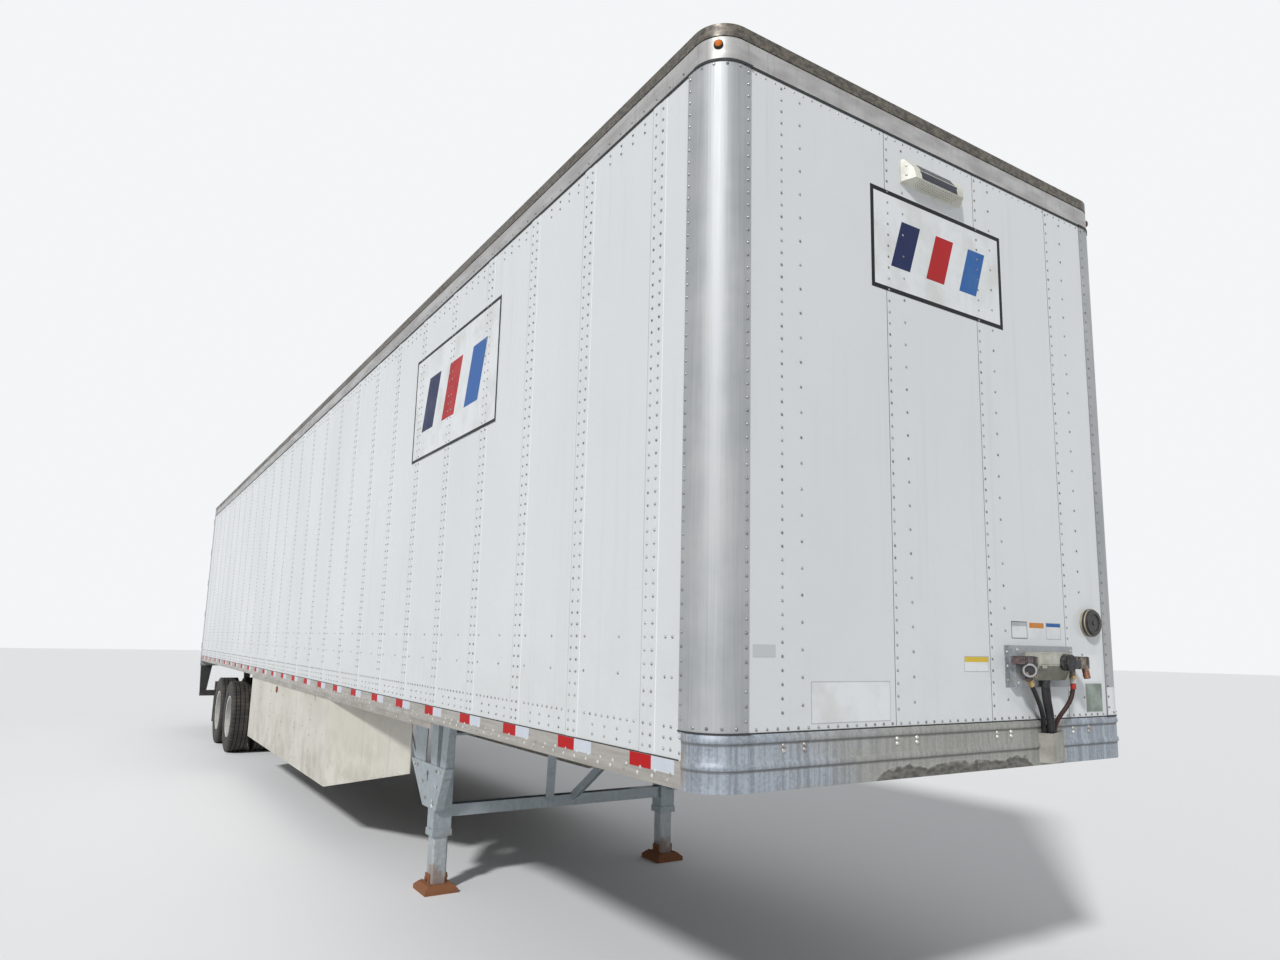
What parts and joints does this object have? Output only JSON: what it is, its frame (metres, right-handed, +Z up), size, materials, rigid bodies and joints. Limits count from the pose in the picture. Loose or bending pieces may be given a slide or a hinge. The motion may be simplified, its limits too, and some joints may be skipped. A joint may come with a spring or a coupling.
{
  "type": "semi trailer",
  "caption": "Long dry van semi trailer with swinging rear doors, sliding tandem bogie, side skirts, landing legs and nose couplings.",
  "frame": {"origin": "on the ground under the middle of the whole trailer", "axes": "+X towards the nose, the direction of travel; +Y to the left side; +Z up"},
  "size_m": [16.372, 2.608, 4.115],
  "materials": {
    "white_panel": "white pre-painted skin on a composite panel, lightly soiled",
    "roof_sheet": "bare sheet, matt",
    "galvanised": "zinc coated, dull",
    "floor_wood": "laminated oak boards",
    "frame_paint": "black paint, dusty",
    "top_rail": "bare extrusion",
    "bottom_rail": "bare extrusion, soiled",
    "corner_post": "brushed",
    "bumper": "zinc coated, stained",
    "kingpin": "bare steel with grease",
    "rear_frame": "zinc coated and painted",
    "rubber": "black rubber",
    "leg_paint": "grey paint, worn",
    "rusty_shoe": "rusted",
    "skirt_panel": "cream composite sheet",
    "cream_plastic": "cream plastic",
    "coupling": "cast, weathered",
    "pocket_metal": "grey paint",
    "amber_lens": "amber lens",
    "red_lens": "red lens",
    "door_panel": "white pre-painted skin on a composite panel",
    "flap_rubber": "black rubber sheet",
    "tank_paint": "black paint",
    "tyre": "worn rubber",
    "wheel_paint": "white painted steel"
  },
  "bodies": {
    "trailer": {"front_wall": "white_panel", "side_walls": "white_panel", "roof": "roof_sheet", "roof_bows": "galvanised", "floor": "floor_wood", "crossmembers": "frame_paint", "top_rails": "top_rail", "front_header": "top_rail", "bottom_rails": "bottom_rail", "corner_posts": "corner_post", "front_bumper": "bumper", "coupler_plate": "frame_paint", "kingpin": "kingpin", "rear_frame": "rear_frame", "rear_guard": "frame_paint", "dock_bumpers": "rubber", "slide_rails": "frame_paint", "landing_legs": "leg_paint", "inner_legs": "leg_paint", "leg_shoes": "rusty_shoe", "leg_brackets": "leg_paint", "leg_cross_brace": "leg_paint", "leg_crank_shaft": "leg_paint", "skirts": "skirt_panel", "skirt_rails": "bottom_rail", "skirt_struts": "galvanised", "nose_plate": "galvanised", "connector_box": "cream_plastic", "air_couplings": "coupling", "left_air_line": "rubber", "left_cable": "rubber", "right_cable": "rubber", "right_air_line": "rubber", "line_pocket": "pocket_metal", "document_holder": "cream_plastic", "sensor_unit": "cream_plastic", "marker_lamps": "amber_lens", "rear_lamps": "red_lens"},
    "bogie": {"bogie_frame": "frame_paint", "axles": "frame_paint", "suspension": "frame_paint", "air_springs": "rubber", "brake_chambers": "frame_paint", "mud_flaps": "flap_rubber", "lock_pins": "galvanised", "air_tank": "tank_paint"},
    "left_front_wheels": {"left_front_tyres": "tyre", "left_front_wheel": "wheel_paint"},
    "right_front_wheels": {"right_front_tyres": "tyre", "right_front_wheel": "wheel_paint"},
    "left_rear_wheels": {"left_rear_tyres": "tyre", "left_rear_wheel": "wheel_paint"},
    "right_rear_wheels": {"right_rear_tyres": "tyre", "right_rear_wheel": "wheel_paint"},
    "left_rear_door": {"left_door": "door_panel", "left_door_hardware": "galvanised"},
    "right_rear_door": {"right_door": "door_panel", "right_door_hardware": "galvanised"}
  },
  "joints": [
    {"name": "bogie_slide", "type": "slide", "parent": "trailer", "child": "bogie", "axis": [1, 0, 0], "range_m": [-1.9812, 1.0668]},
    {"name": "left_front_wheels_turn", "type": "hinge", "parent": "bogie", "child": "left_front_wheels", "pos_m": [-3.809, 1, 0.505], "axis": [0, 1, 0], "continuous": true},
    {"name": "left_rear_wheels_turn", "type": "hinge", "parent": "bogie", "child": "left_rear_wheels", "pos_m": [-5.054, 1, 0.505], "axis": [0, 1, 0], "continuous": true},
    {"name": "right_front_wheels_turn", "type": "hinge", "parent": "bogie", "child": "right_front_wheels", "pos_m": [-3.809, -1, 0.505], "axis": [0, 1, 0], "continuous": true},
    {"name": "right_rear_wheels_turn", "type": "hinge", "parent": "bogie", "child": "right_rear_wheels", "pos_m": [-5.054, -1, 0.505], "axis": [0, 1, 0], "continuous": true},
    {"name": "left_rear_door_swing", "type": "hinge", "parent": "trailer", "child": "left_rear_door", "pos_m": [-8.172, 1.286, 2.66], "axis": [0, 0, -1], "range_deg": [0, 270]},
    {"name": "right_rear_door_swing", "type": "hinge", "parent": "trailer", "child": "right_rear_door", "pos_m": [-8.172, -1.286, 2.66], "axis": [0, 0, 1], "range_deg": [0, 270]}
  ]
}
